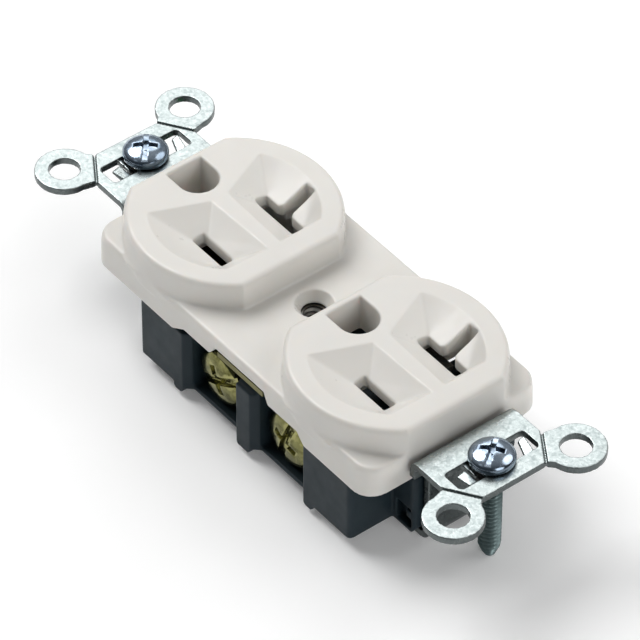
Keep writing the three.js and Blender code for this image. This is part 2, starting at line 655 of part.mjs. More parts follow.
// Top flange, two terminal plates, a break-off fin between them and a spring clip at each face.
function busSolid(side, hasArm) {
  const plateOutside = PLATE_Y + BRASS;
  const flangeBottom = FLANGE_TOP - 1;
  const leafInside = BLADE_Y + LEAF_GAP;
  const pieces = FACE_X.flatMap((face, i) => {
    const x = face + BLADE_X;
    const plateX = TERMINAL_X[i];
    const towardsPlate = Math.sign(plateX - x);
    const flangeStart = x + towardsPlate * (hasArm ? WING_GAP : -LEAF_HALF_LENGTH);
    const flange = box(
      flangeStart, plateX + towardsPlate * PLATE_HALF_WIDTH,
      side * leafInside, side * plateOutside, flangeBottom, FLANGE_TOP,
    );
    const plate = cut(
      box(
        plateX - PLATE_HALF_WIDTH, plateX + PLATE_HALF_WIDTH, side * PLATE_Y, side * plateOutside,
        PLATE_BOTTOM, FLANGE_TOP,
      ),
      prism(
        disc(plateX, TERMINAL_Z, TERMINAL_SHANK_RADIUS + GAP, 20),
        side * (PLATE_Y - OVER), side * (plateOutside + OVER), 'y',
      ),
    );
    const clip = prism(clipOutline(side), x - LEAF_HALF_LENGTH, x + LEAF_HALF_LENGTH, 'x');
    if (!hasArm) return [flange, plate, clip];
    const split = box(
      x - WING_GAP, x + WING_GAP, side * (leafInside - 0.2), side * (ARM_TIP + OVER), CLIP_BOTTOM + 1.5, OVER,
    );
    const wings = [-1, 1].map((way) => box(
      x + way * WING_GAP, x + way * (WING_GAP + BRASS),
      side * leafInside, side * (ARM_TIP - 0.2), WING_BOTTOM, WING_TOP,
    ));
    return [flange, plate, cut(clip, split), ...wings];
  });
  const [finLeft, finRight] = FIN_X;
  const fin = cut(
    box(finLeft, finRight, side * PLATE_Y, side * FIN_EDGE, flangeBottom, FLANGE_TOP),
    box(
      finLeft + FIN_ARM, finRight - FIN_ARM, side * (PLATE_Y - OVER), side * FIN_WINDOW_EDGE,
      flangeBottom - OVER, FLANGE_TOP + OVER,
    ),
  );
  return join(...pieces, fin);
}

function groundStripSolid() {
  const [low, high] = GROUND_STRIP;
  const leafOutside = GROUND_LEAF + BRASS;
  const profile = points(
    [-leafOutside, low], [leafOutside, low],
    [leafOutside, GROUND_LEAF_TOP], [GROUND_LEAF, GROUND_LEAF_TOP], [GROUND_LEAF, high],
    [-GROUND_LEAF, high], [-GROUND_LEAF, GROUND_LEAF_TOP], [-leafOutside, GROUND_LEAF_TOP],
  );
  const strip = box(...GROUND_STRIP_X, -GROUND_STRIP_HALF_WIDTH, GROUND_STRIP_HALF_WIDTH, low, high);
  const clips = FACE_X.map((face) => {
    const x = face + GROUND_X;
    return prism(profile, x - GROUND_LEAF_HALF_LENGTH, x + GROUND_LEAF_HALF_LENGTH, 'x');
  });
  const holes = RIVET_X.map((x) => prism(disc(x, 0, RIVET_HOLE_RADIUS, 16), low - OVER, high + OVER));
  return cut(join(strip, ...clips), ...holes);
}

// ---------------------------------------------------------------- fasteners
// Cross and slot driver recess, open at height z.
function driverRecess(radius, z, depth) {
  const slot = box(-radius - 1, radius + 1, -0.5, 0.5, z - depth, z + 3);
  const cross = box(-0.5, 0.5, -radius * 0.5, radius * 0.5, z - depth, z + 3);
  return join(slot, cross);
}

// Screw about Z with the underside of its head at z = 0 and its tip down.
function screwSolid({ headRadius, headHeight, shankRadius, length, point }, steps = 20) {
  const body = turned([
    [0, -length], [shankRadius * 0.55, -length], [shankRadius, point - length], [shankRadius, 0],
    [headRadius * 0.97, 0], [headRadius, headHeight * 0.25], [headRadius * 0.88, headHeight * 0.66],
    [headRadius * 0.55, headHeight * 0.94], [0, headHeight],
  ], steps);
  return cut(body, driverRecess(headRadius, headHeight, headHeight * 0.48));
}

function clampSolid() {
  const outline = roundedRectangle(4.3, 4.5, 0.9, 3);
  const hole = disc(0, 0, TERMINAL_SHANK_RADIUS + GAP, 20);
  return cut(prism(outline, 0, CLAMP), prism(hole, -OVER, CLAMP + OVER));
}

function rivetSolid() {
  const top = GROUND_STRIP[1] + GAP;
  const bottom = STRAP_BOTTOM - GAP;
  return turned([
    [0, bottom - RIVET_HEAD], [1.9, bottom - RIVET_HEAD], [2.3, bottom], [1.3, bottom],
    [1.3, top], [2.3, top], [2.0, top + RIVET_HEAD], [0, top + RIVET_HEAD + 0.2],
  ], 14);
}

function plateBushSolid() {
  return ring([[1.4, -2.1], [1.4, -10], [2.4, -10], [2.4, -3.1], [3.4, -3.1], [3.4, -2.1]], 18);
}

// ---------------------------------------------------------------- assembly
add('cover', coverSolid(), FACE_PLASTIC);
add('base', baseSolid(), BASE_PLASTIC);
add('mounting_strap', strapSolid(), GALVANISED);
add('hot_bus', busSolid(-1, false), BRASS_SHEET);
add('neutral_bus', busSolid(1, true), NICKEL);
add('ground_strip', groundStripSolid(), BRASS_SHEET);
add('plate_screw_bush', plateBushSolid(), NICKEL);
RIVET_X.forEach((x, i) => add(`ground_rivet_${i + 1}`, rivetSolid(), BRASS_SHEET, [x, 0, 0]));

const terminalScrew = screwSolid({
  headRadius: TERMINAL_HEAD_RADIUS,
  headHeight: TERMINAL_HEAD_HEIGHT,
  shankRadius: TERMINAL_SHANK_RADIUS,
  length: TERMINAL_SHANK,
  point: 0.6,
});
const underHead = TERMINAL_HEAD_FACE - TERMINAL_HEAD_HEIGHT;
const clampInside = underHead - GAP - CLAMP;
const terminalSides = [
  { name: 'hot', side: -1, screw: BRASS_SCREW, clamp: BRASS_SHEET },
  { name: 'neutral', side: 1, screw: NICKEL, clamp: NICKEL },
];
for (const { name, side, screw, clamp } of terminalSides) {
  TERMINAL_X.forEach((x, i) => {
    const outward = [-side * (Math.PI / 2), 0, 0];
    add(`${name}_clamp_${i + 1}`, clampSolid(), clamp, [x, side * clampInside, TERMINAL_Z], outward);
    add(`${name}_screw_${i + 1}`, terminalScrew, screw, [x, side * underHead, TERMINAL_Z], outward);
  });
}

const groundClampX = -LEG_OUTSIDE - GROUND_CLAMP_GAP;
const groundHeadX = groundClampX - CLAMP - GAP;
const towardsEnd = [0, -Math.PI / 2, 0];
add('ground_clamp', clampSolid(), GALVANISED, [groundClampX, GROUND_SCREW_Y, GROUND_SCREW_Z], towardsEnd);
add('ground_screw', terminalScrew, GREEN_SCREW, [groundHeadX, GROUND_SCREW_Y, GROUND_SCREW_Z], towardsEnd);

const mountingScrew = screwSolid({
  headRadius: MOUNT_HEAD_RADIUS,
  headHeight: MOUNT_HEAD_HEIGHT,
  shankRadius: MOUNT_SHANK_RADIUS,
  length: MOUNT_LENGTH + GAP,
  point: 2.4,
});
const [retainerTop, retainerBottom] = [-STRAP - GAP, -STRAP - GAP - RETAINER];
const retainer = ring([
  [MOUNT_SHANK_RADIUS + GAP, retainerTop], [MOUNT_SHANK_RADIUS + GAP, retainerBottom],
  [RETAINER_RADIUS, retainerBottom], [RETAINER_RADIUS, retainerTop],
], 20);
for (const [name, end] of [['near', 1], ['far', -1]]) {
  add(`screw_retainer_${name}`, retainer, FIBRE, [end * MOUNT_X, 0, 0]);
  add(`mounting_screw_${name}`, mountingScrew, ZINC, [end * MOUNT_X, 0, GAP]);
}

const caseScrew = screwSolid({
  headRadius: CASE_HEAD_RADIUS,
  headHeight: 1.4,
  shankRadius: CASE_SHANK_RADIUS,
  length: 14.2,
  point: 1.6,
}, 12);
caseScrewPlaces().forEach(([x, y], i) => {
  add(`case_screw_${i + 1}`, caseScrew, ZINC, [x, y, CASE_HEAD_SEAT], [Math.PI, 0, 0]);
});

export default group;
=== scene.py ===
"""Duplex wall outlet: its looks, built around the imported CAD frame.

Shapes are made in millimetres, with z = 0 in the front plane of the strap's ears, and are turned into
metres and raised to their place when a piece is added. X runs along the strap, -Y is the hot side and
+Z comes out of the faces.
"""

import json
import math

import bmesh
import bpy
import numpy as np
from mathutils import Matrix, Vector

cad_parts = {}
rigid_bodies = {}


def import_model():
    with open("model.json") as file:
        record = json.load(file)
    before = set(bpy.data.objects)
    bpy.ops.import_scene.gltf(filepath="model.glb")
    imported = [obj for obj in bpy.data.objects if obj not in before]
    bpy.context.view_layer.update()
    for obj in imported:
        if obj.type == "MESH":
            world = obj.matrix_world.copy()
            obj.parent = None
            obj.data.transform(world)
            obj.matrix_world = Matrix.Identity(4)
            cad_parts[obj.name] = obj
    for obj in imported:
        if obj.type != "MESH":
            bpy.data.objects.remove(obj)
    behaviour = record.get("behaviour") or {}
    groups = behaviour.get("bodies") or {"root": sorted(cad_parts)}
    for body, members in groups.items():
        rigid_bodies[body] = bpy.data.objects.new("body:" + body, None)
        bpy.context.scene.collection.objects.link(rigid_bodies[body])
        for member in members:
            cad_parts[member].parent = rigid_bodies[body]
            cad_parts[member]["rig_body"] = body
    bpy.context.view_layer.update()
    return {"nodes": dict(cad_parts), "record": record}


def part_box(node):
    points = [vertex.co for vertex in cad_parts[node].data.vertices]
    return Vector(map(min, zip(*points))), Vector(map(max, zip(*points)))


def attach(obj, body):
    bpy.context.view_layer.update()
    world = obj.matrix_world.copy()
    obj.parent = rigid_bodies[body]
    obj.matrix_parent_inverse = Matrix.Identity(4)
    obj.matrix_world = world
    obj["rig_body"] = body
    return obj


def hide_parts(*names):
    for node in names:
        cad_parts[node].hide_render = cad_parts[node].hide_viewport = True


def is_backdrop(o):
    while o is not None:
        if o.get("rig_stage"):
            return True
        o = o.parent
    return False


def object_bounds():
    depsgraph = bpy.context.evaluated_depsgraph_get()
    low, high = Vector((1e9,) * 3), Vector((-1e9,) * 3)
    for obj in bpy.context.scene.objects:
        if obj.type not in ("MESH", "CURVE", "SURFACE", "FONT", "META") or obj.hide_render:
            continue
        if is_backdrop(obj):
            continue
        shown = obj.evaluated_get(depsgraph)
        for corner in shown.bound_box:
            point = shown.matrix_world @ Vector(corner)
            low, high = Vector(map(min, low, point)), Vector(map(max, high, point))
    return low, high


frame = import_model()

MM = 0.001
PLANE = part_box("mounting_strap")[1].z  # height of the ears' front plane in the frame, in metres
TO_FRAME = Matrix.Translation((0, 0, PLANE)) @ Matrix.Scale(MM, 4)
DETAIL = 1.0  # share of the full mesh resolution


# ------------------------------------------------------------------ places read from the frame
def box_mm(node):
    """Lowest and highest corner of a CAD node, in millimetres from the ears' front plane."""
    low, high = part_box(node)
    return (np.array(low) - [0, 0, PLANE]) / MM, (np.array(high) - [0, 0, PLANE]) / MM


def centre_mm(node):
    low, high = box_mm(node)
    return (low + high) / 2


COVER_LOW, COVER_HIGH = box_mm("cover")
STRAP_BOTTOM = box_mm("mounting_strap")[0][2]
HOT_SCREWS = ["hot_screw_1", "hot_screw_2"]
NEUTRAL_SCREWS = ["neutral_screw_1", "neutral_screw_2"]
MOUNTING_SCREWS = {"near": "mounting_screw_near", "far": "mounting_screw_far"}

# ------------------------------------------------------------------ sizes, in millimetres
FACE_RADIUS = 16.7
FACE_FLAT = 14.05  # from the face's centre to the flat at each end of the outlet
FACE_X = [COVER_LOW[0] + FACE_FLAT, COVER_HIGH[0] - FACE_FLAT]
FACE_TOP = COVER_HIGH[2]
SLAB_TOP = 0.14
SLAB_HALF = [COVER_HIGH[0], 16.6]
SLAB_CORNER = 3.6
COVER_ROOF = -1.8  # underside of the cover's front wall
COVER_HOLLOWS = [(-17.5, 23.2, 14.9), (-27, 27, 10)]  # from x to x, and half width
WINDOW_SILL = -3.6
WINDOW = [(-10.5, -4.3, -2.9), (16.7, 9.8, 8.8)]  # sill's outer and inner ends, and the fin's end
WINDOW_FEET = (-14.2, 18.9)
FACE_FILLET = 0.9  # at the foot and at the rim of a face
BLADE_X = 2.92  # slots' centre from the face's centre
BLADE_Y = 6.35  # half the standard 12.7 mm
SLOT_WIDTH = 2.2
HOT_SLOT = 7.2
NEUTRAL_SLOT = 9.2
ARM_TIP = 12.4
ARM_FILLET = 0.9
RELIEF_TOP = 0.4  # the front wall is thin around the slots
RELIEF = (1.2, 1.6)  # how far the hollow behind a slot runs past it, along and across
ARM_RELIEF = 0.8
GROUND_X = -8.98
GROUND_RADIUS = 3.25
GROUND_FLAT = -3.55
FUNNEL_RADIUS = 13.2
FUNNEL_ARC = (43, 125)  # in degrees, of the funnel's outer edge
FUNNEL_CORNERS = [[-3.6, 1.45], [9.9, 1.1]]  # of its edge near the middle of the face
FUNNEL_FLOOR = 2.4
FUNNEL_SKEW = 0.96  # keeps the funnel's left facet flat
PLATE_HOLE = [(1.95, -1.5), (3.1, SLAB_TOP)]  # radius and height down the countersink
STRAP = 1.25
BEND = 2.0
LEG_OUTSIDE = 35.4
LEG_HALF_WIDTH = 6.5
YOKE_HALF_WIDTH = 9.3
YOKE_END = 46.8
YOKE_START = 37.5
YOKE_CHAMFER = (41.8, 6.0)
SHOULDER_Z = -3.4
EAR = (46.97, 11.54)
EAR_RADIUS = 4.65
EAR_HOLE_RADIUS = 2.42
MOUNT_X = 41.67
MOUNT_SLOT = (2.05, 7.5, 0.9)  # half width, half length and corner radius
PITCH = 0.794  # of the 6-32 and 8-32 threads
RETAINER_HOLE = 2.05
TERMINAL_TURNS = (27, 71)  # in degrees, how each row's two slots are turned
MOUNTING_TURNS = (-52, -40)


# ------------------------------------------------------------------ outlines
def arc(cx, cy, radius, start, stop, steps):
    angles = np.radians(np.linspace(start, stop, steps + 1))
    return np.stack([cx + radius * np.cos(angles), cy + radius * np.sin(angles)], 1)


def disc(cx, cy, radius, steps=64):
    return arc(cx, cy, radius, 0, 360 * (1 - 1 / steps), steps - 1)


def rounded_rectangle(half_x, half_y, radius, steps=12):
    x, y = half_x - radius, half_y - radius
    return np.concatenate([
        arc(x, y, radius, 0, 90, steps), arc(-x, y, radius, 90, 180, steps),
        arc(-x, -y, radius, 180, 270, steps), arc(x, -y, radius, 270, 360, steps),
    ])


def rectangle(x0, x1, y0, y1):
    return np.array([[x0, y0], [x1, y0], [x1, y1], [x0, y1]], float)


# ------------------------------------------------------------------ meshes
def new_mesh(verts, faces):
    mesh = bpy.data.meshes.new("shape")
    mesh.from_pydata([tuple(map(float, v)) for v in verts], [], faces)
    work = bmesh.new()
    work.from_mesh(mesh)
    bmesh.ops.recalc_face_normals(work, faces=work.faces)
    work.to_mesh(mesh)
    work.free()
    return mesh


def loft(rings, closed=False):
    """Skin through rings of equally many points. closed joins the last ring to the first instead of capping."""
    count, total = len(rings[0]), len(rings)
    faces = []
    for k in range(total if closed else total - 1):
        a, b = k * count, ((k + 1) % total) * count
        faces += [(a + i, a + (i + 1) % count, b + (i + 1) % count, b + i) for i in range(count)]
    if not closed:
        faces.append(tuple(range(count))[::-1])
        faces.append(tuple(range((total - 1) * count, total * count)))
    return new_mesh(np.concatenate(rings), faces)


def level(outline, height, axis=2):
    """Outline points in space, at a height along the axis."""
    return np.insert(np.asarray(outline, float), axis, height, axis=1)


def prism(outline, start, stop, axis=2):
    return loft([level(outline, start, axis), level(outline, stop, axis)])


def block(x0, x1, y0, y1, z0, z1):
    return prism(rectangle(min(x0, x1), max(x0, x1), min(y0, y1), max(y0, y1)), min(z0, z1), max(z0, z1))


def hull(points):
    mesh = bpy.data.meshes.new("hull")
    work = bmesh.new()
    for p in points:
        work.verts.new(tuple(map(float, p)))
    made = bmesh.ops.convex_hull(work, input=work.verts)
    bmesh.ops.delete(work, geom=made["geom_interior"] + made["geom_unused"], context="VERTS")
    work.to_mesh(mesh)
    work.free()
    return mesh


def together(*meshes):
    """All the meshes in one, overlapping where they overlap."""
    work = bmesh.new()
    for mesh in meshes:
        work.from_mesh(mesh)
    out = bpy.data.meshes.new("shape")
    work.to_mesh(out)
    work.free()
    return out


def moved(mesh, matrix):
    out = mesh.copy()
    out.transform(matrix)
    if matrix.determinant() < 0:
        out.flip_normals()
    return out


def cad_copy(node):
    """A CAD node's mesh in millimetres."""
    return moved(frame["nodes"][node].data, TO_FRAME.inverted())


def through_modifiers(mesh, *modifiers):
    """The mesh after modifiers, each given as (type, settings)."""
    host = bpy.data.objects.new("work", mesh)
    bpy.context.scene.collection.objects.link(host)
    for kind, settings in modifiers:
        modifier = host.modifiers.new(kind.lower(), kind)
        for key, value in settings.items():
            setattr(modifier, key, value)
    depsgraph = bpy.context.evaluated_depsgraph_get()
    out = bpy.data.meshes.new_from_object(host.evaluated_get(depsgraph))
    bpy.data.objects.remove(host)
    return out


def combine(body, tool, operation):
    other = bpy.data.objects.new("tool", tool)
    bpy.context.scene.collection.objects.link(other)
    settings = {"object": other, "solver": "EXACT", "use_self": True, "operation": operation}
    out = through_modifiers(body, ("BOOLEAN", settings))
    bpy.data.objects.remove(other)
    return out


def carve(body, *tools):
    return combine(body, together(*tools), "DIFFERENCE")


def moulded(mesh, grain, passes):
    """Even fine mesh of the body with every edge and inner corner softened, as a mould or press leaves it."""
    return through_modifiers(
        mesh,
        ("REMESH", {"mode": "VOXEL", "voxel_size": grain / DETAIL, "adaptivity": 0.0}),
        ("SMOOTH", {"factor": 0.5, "iterations": max(1, round(passes * DETAIL))}),
    )


def broken_edges(mesh, width, segments=2, angle=35):
    """Small rounded bevel on the sharp edges, after flat neighbours are merged."""
    work = bmesh.new()
    work.from_mesh(mesh)
    bmesh.ops.remove_doubles(work, verts=work.verts, dist=1e-4)
    bmesh.ops.dissolve_limit(work, angle_limit=math.radians(1.5), verts=work.verts, edges=work.edges)
    work.to_mesh(mesh)
    work.free()
    return through_modifiers(mesh, ("BEVEL", {
        "width": width, "segments": segments, "limit_method": "ANGLE", "angle_limit": math.radians(angle),
        "miter_outer": "MITER_ARC",
    }))


def add(name, mesh, body, slot, nodes=(), smooth=40, place=None):
    """Puts a finished millimetre mesh into the scene on its body, standing for the CAD nodes."""
    mesh.transform(TO_FRAME @ place if place is not None else TO_FRAME)
    mesh.name = name
    obj = bpy.data.objects.new(name, mesh)
    bpy.context.scene.collection.objects.link(obj)
    mesh.materials.clear()
    mesh.materials.append(MATERIALS[slot])
    mesh.shade_smooth()
    if smooth < 180:
        mesh.set_sharp_from_angle(angle=math.radians(smooth))
    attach(obj, body)
    if nodes:
        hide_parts(*nodes)
    return obj


# ------------------------------------------------------------------ materials
class Shader:
    """One node material, written as a chain of short calls."""

    def __init__(self, name):
        self.material = bpy.data.materials.new(name)
        self.material.use_nodes = True
        self.tree = self.material.node_tree
        self.surface = self.tree.nodes["Principled BSDF"]
        self.where = self.make("ShaderNodeTexCoord").outputs["Object"]

    def make(self, kind, **settings):
        node = self.tree.nodes.new(kind)
        for key, value in settings.items():
            setattr(node, key, value)
        return node

    def plug(self, value, socket):
        if isinstance(value, bpy.types.NodeSocket):
            self.tree.links.new(value, socket)
        else:
            socket.default_value = value

    def set(self, **inputs):
        for key, value in inputs.items():
            self.plug(value, self.surface.inputs[key.replace("_", " ")])

    def noise(self, scale, detail=3.0, roughness=0.5, stretch=None, distortion=0.0):
        node = self.make("ShaderNodeTexNoise")
        where = self.where
        if stretch is not None:
            mapping = self.make("ShaderNodeMapping")
            self.tree.links.new(where, mapping.inputs["Vector"])
            mapping.inputs["Scale"].default_value = stretch
            where = mapping.outputs["Vector"]
        self.tree.links.new(where, node.inputs["Vector"])
        values = {"Scale": scale, "Detail": detail, "Roughness": roughness, "Distortion": distortion}
        for key, value in values.items():
            node.inputs[key].default_value = value
        return node.outputs["Fac"]

    def cells(self, scale, output="Color"):
        node = self.make("ShaderNodeTexVoronoi")
        self.tree.links.new(self.where, node.inputs["Vector"])
        node.inputs["Scale"].default_value = scale
        return node.outputs[output]

    def band(self, value, low, high, to_low=0.0, to_high=1.0):
        node = self.make("ShaderNodeMapRange")
        self.plug(value, node.inputs["Value"])
        for key, number in (("From Min", low), ("From Max", high), ("To Min", to_low), ("To Max", to_high)):
            node.inputs[key].default_value = number
        return node.outputs["Result"]

    def mix(self, share, first, second, blend="MIX"):
        node = self.make("ShaderNodeMix", data_type="RGBA", blend_type=blend)
        self.plug(share, node.inputs["Factor"])
        self.plug(first if isinstance(first, bpy.types.NodeSocket) else (*first, 1.0), node.inputs["A"])
        self.plug(second if isinstance(second, bpy.types.NodeSocket) else (*second, 1.0), node.inputs["B"])
        return node.outputs["Result"]

    def maths(self, operation, first, second):
        node = self.make("ShaderNodeMath", operation=operation)
        self.plug(first, node.inputs[0])
        self.plug(second, node.inputs[1])
        return node.outputs["Value"]

    def bump(self, height, distance, normal=None, strength=1.0):
        node = self.make("ShaderNodeBump")
        self.plug(height, node.inputs["Height"])
        node.inputs["Distance"].default_value = distance
        node.inputs["Strength"].default_value = strength
        if normal is not None:
            self.tree.links.new(normal, node.inputs["Normal"])
        return node.outputs["Normal"]

    def edge_wear(self, low, high):
        """0 in flat places and 1 on outer edges, from how pointed the mesh is."""
        return self.band(self.make("ShaderNodeNewGeometry").outputs["Pointiness"], low, high)

    def height_of_normal(self):
        """1 where the surface faces up, 0 where it is upright."""
        split = self.make("ShaderNodeSeparateXYZ")
        self.tree.links.new(self.make("ShaderNodeNewGeometry").outputs["Normal"], split.inputs["Vector"])
        return split.outputs["Z"]

    def height(self):
        """Height in the part's frame."""
        split = self.make("ShaderNodeSeparateXYZ")
        self.tree.links.new(self.where, split.inputs["Vector"])
        return split.outputs["Z"]

    def shade(self, distance):
        """1 in the open and 0 deep in a corner."""
        node = self.make("ShaderNodeAmbientOcclusion", samples=6)
        node.inputs["Distance"].default_value = distance
        return node.outputs["AO"]


def plastic(name, colour, tint, deep, roughness, grain, subsurface, specular=0.5):
    """Moulded plastic: flow marks, a fine pressed grain, painted shade in the corners and polish on the edges."""
    shader = Shader(name)
    flow = shader.noise(90, detail=2, distortion=0.6)
    body = shader.mix(shader.band(flow, 0.3, 0.7), colour, tint)
    fleck = shader.band(shader.noise(2600, detail=2), 0.62, 0.75, 0.0, 0.25)
    body = shader.mix(fleck, body, tint)
    # painted shade: the colour darkens towards the deep colour in corners and hollows, from the mesh's occlusion
    body = shader.mix(shader.band(shader.shade(0.0016), 0.2, 0.8, 0.35, 0.0), body, deep)
    rough = shader.band(shader.noise(420, detail=4), 0.3, 0.7, roughness - 0.07, roughness + 0.07)
    rough = shader.maths("SUBTRACT", rough, shader.maths("MULTIPLY", shader.edge_wear(0.52, 0.6), 0.12))
    normal = shader.bump(shader.noise(5200, detail=2), grain)
    normal = shader.bump(shader.noise(160, detail=1), grain * 6, normal)
    shader.set(Base_Color=body, Roughness=rough, Normal=normal, Subsurface_Weight=subsurface, IOR=1.5)
    shader.surface.inputs["Subsurface Radius"].default_value = (0.0016, 0.0012, 0.0009)
    shader.surface.inputs["Subsurface Scale"].default_value = 1.0
    shader.surface.inputs["Specular IOR Level"].default_value = specular
    return shader.material


def metal(name, bright, dull, roughness, spangle=0.0, lines=(1.0, 1.0, 1.0), tarnish=0.3, bumpiness=6e-6,
          flank=0.0, patches=260, enclosed=0.0, shank=None):
    """Plated or bare sheet and screw metal: mottled finish, drawn scratches, painted shade in the corners, bright
    edges.
    flank paints shade on whatever doesn't face up, such as the sheared edges and bends of the sheet; enclosed
    paints shade on what is shut inside the case; shank is the dull colour below the strap's plane."""
    shader = Shader(name)
    cloud = shader.noise(patches, detail=5, roughness=0.62, distortion=0.8)
    colour = shader.mix(shader.band(cloud, 0.36, 0.64), dull, bright)
    patch = shader.noise(900, detail=4, roughness=0.6)
    colour = shader.mix(shader.band(patch, 0.5, 0.72, 0.0, tarnish), colour, dull)
    rough = shader.band(cloud, 0.3, 0.7, roughness + 0.1, roughness - 0.06)
    if spangle:
        crystals = shader.band(shader.cells(patches * 0.6), 0.0, 1.0, 0.0, 1.0)
        colour = shader.mix(shader.maths("MULTIPLY", crystals, spangle), colour, bright)
        rough = shader.maths("ADD", rough, shader.band(crystals, 0.0, 1.0, 0.1 * spangle, -0.16 * spangle))
    # painted shade: darker in corners and hollows, from the mesh's occlusion
    colour = shader.mix(shader.band(shader.shade(0.0012), 0.15, 0.75, 0.6, 0.0), colour, [c * 0.35 for c in dull])
    colour = shader.mix(shader.edge_wear(0.53, 0.62), colour, [min(1.0, c * 1.15) for c in bright])
    # painted shade: faces that don't face up, such as sheared edges, bends and threads, are darkened
    if flank:
        turned = shader.maths("ADD", shader.height_of_normal(), shader.band(patch, 0.3, 0.7, -0.12, 0.12))
        colour = shader.mix(shader.band(turned, 0.55, 0.95, flank, 0.0), colour, [c * 0.24 for c in dull])
    # painted shade: parts shut deep inside the case are darkened, from occlusion over 6 mm
    if enclosed:
        inside_shade_mask = shader.band(shader.shade(0.006), 0.1, 0.6, enclosed, 0.0)
        colour = shader.mix(inside_shade_mask, colour, [c * 0.08 for c in dull])
    if shank:
        below = shader.band(shader.height(), PLANE - 0.6 * MM, PLANE - 0.1 * MM, 1.0, 0.0)
        colour = shader.mix(below, colour, shank)
        rough = shader.maths("ADD", rough, shader.maths("MULTIPLY", below, 0.25))
    scratches = shader.noise(1500, detail=3, stretch=lines)
    rough = shader.maths("ADD", rough, shader.band(scratches, 0.55, 0.75, 0.0, 0.12))
    normal = shader.bump(scratches, bumpiness)
    normal = shader.bump(shader.noise(520, detail=3), bumpiness * 3, normal)
    shader.set(Base_Color=colour, Metallic=1.0, Roughness=rough, Normal=normal)
    return shader.material


def fibre(name, colour, dark):
    """Pressed vulcanised fibre."""
    shader = Shader(name)
    strands = shader.noise(3200, detail=4, roughness=0.7, stretch=(1.0, 0.25, 1.0))
    shader.set(
        Base_Color=shader.mix(shader.band(strands, 0.35, 0.65), dark, colour),
        Roughness=shader.band(strands, 0.3, 0.7, 0.65, 0.85),
        Normal=shader.bump(strands, 3e-5),
    )
    return shader.material


MATERIALS = {
    "cover_nylon": plastic(
        "cover_nylon", (0.735, 0.715, 0.675), (0.705, 0.687, 0.65), (0.36, 0.335, 0.31), 0.36, 4e-6, 0.25),
    "base_plastic": plastic(
        "base_plastic", (0.012, 0.022, 0.029), (0.019, 0.031, 0.039), (0.003, 0.005, 0.006), 0.42, 9e-6, 0.0,
        specular=0.16),
    "galvanised_steel": metal(
        "galvanised_steel", (0.54, 0.59, 0.585), (0.31, 0.36, 0.36), 0.30, 0.35, (1.0, 0.12, 1.0), 0.5,
        flank=0.86, patches=1700),
    "zinc_screw": metal("zinc_screw", (0.50, 0.59, 0.70), (0.22, 0.29, 0.37), 0.14, 0.0, tarnish=0.35,
                        bumpiness=1e-6, flank=0.6, shank=(0.15, 0.20, 0.20)),
    "brass_sheet": metal("brass_sheet", (0.16, 0.15, 0.06), (0.075, 0.07, 0.025), 0.34, 0.0, (0.1, 1, 1), 0.4,
                         enclosed=0.9),
    "brass_screw": metal("brass_screw", (0.29, 0.28, 0.115), (0.08, 0.08, 0.022), 0.16, 0.0, tarnish=0.5,
                         patches=420),
    "plated_brass": metal("plated_brass", (0.62, 0.61, 0.58), (0.36, 0.35, 0.33), 0.34, 0.2, (0.1, 1, 1), 0.3,
                          enclosed=0.95),
    "silver_screw": metal("silver_screw", (0.80, 0.80, 0.79), (0.50, 0.50, 0.49), 0.24, 0.0, tarnish=0.3,
                          bumpiness=3e-6),
    "green_screw": metal("green_screw", (0.12, 0.46, 0.22), (0.04, 0.22, 0.09), 0.28, 0.0, tarnish=0.4,
                         bumpiness=3e-6),
    "fibre_washer": fibre("fibre_washer", (0.045, 0.043, 0.04), (0.02, 0.019, 0.018)),
}


# ------------------------------------------------------------------ cover
def face_outline(inset, steps=60):
    radius, flat = FACE_RADIUS - inset, FACE_FLAT - min(inset, FACE_FLAT)
    corner = math.degrees(math.acos(min(1.0, flat / radius)))
    return np.concatenate([
        arc(0, 0, radius, corner, 180 - corner, steps), arc(0, 0, radius, 180 + corner, 360 - corner, steps),
    ])


def raised_face(x):
    """Raised round face: a fillet at its foot, a straight wall and a rounded rim."""
    fillet = FACE_FILLET
    rings = [(0.0, COVER_ROOF)]
    rings += [(-fillet * (1 - math.sin(a)), SLAB_TOP - 0.25 + fillet * (1 - math.cos(a)))
              for a in np.radians([5, 25, 45, 65, 90])]
    rings += [(fillet * (1 - math.cos(a)), FACE_TOP - fillet * (1 - math.sin(a)))
              for a in np.radians([0, 20, 40, 60, 80, 90])]
    shapes = []
    for inset, height in rings:
        outline = face_outline(inset) + [x, 0]
        outline[:, 0] = np.clip(outline[:, 0], -SLAB_HALF[0], SLAB_HALF[0])
        outline[:, 1] = np.clip(outline[:, 1], -FACE_RADIUS, FACE_RADIUS)
        shapes.append(level(outline, height))
    return loft(shapes)


def funnel(x, side, length):
    """Five-sided lead-in that narrows from the face down to a blade slot."""
    rim = np.concatenate([arc(0, 0, FUNNEL_RADIUS, *FUNNEL_ARC, 24), FUNNEL_CORNERS])
    start, stop, half = BLADE_X - length / 2, BLADE_X + length / 2, SLOT_WIDTH / 2
    floor = np.array([
        [start + FUNNEL_SKEW, BLADE_Y - half], [stop, BLADE_Y - half],
        [stop, BLADE_Y + half], [start, BLADE_Y + half],
    ])
    sections = [(rim, FACE_TOP), (rim, FACE_TOP + 1), (floor, FUNNEL_FLOOR)]
    return hull(np.concatenate([level(outline * [1, side] + [x, 0], z) for outline, z in sections]))


def ground_hole(x):
    """D-shaped hole: a half circle whose sides run straight on to the flat, with a small broken rim."""
    flat = [[GROUND_FLAT, GROUND_RADIUS], [GROUND_FLAT, -GROUND_RADIUS]]
    outline = np.concatenate([arc(0, 0, GROUND_RADIUS, -90, 90, 40), flat])
    centre = [x + GROUND_X, 0]
    lead_in = loft([
        level(outline + centre, FACE_TOP - 0.2), level(outline * 1.08 + centre, FACE_TOP + 0.1),
    ])
    return together(prism(outline + centre, COVER_LOW[2] - 1, FACE_TOP + 1), lead_in)


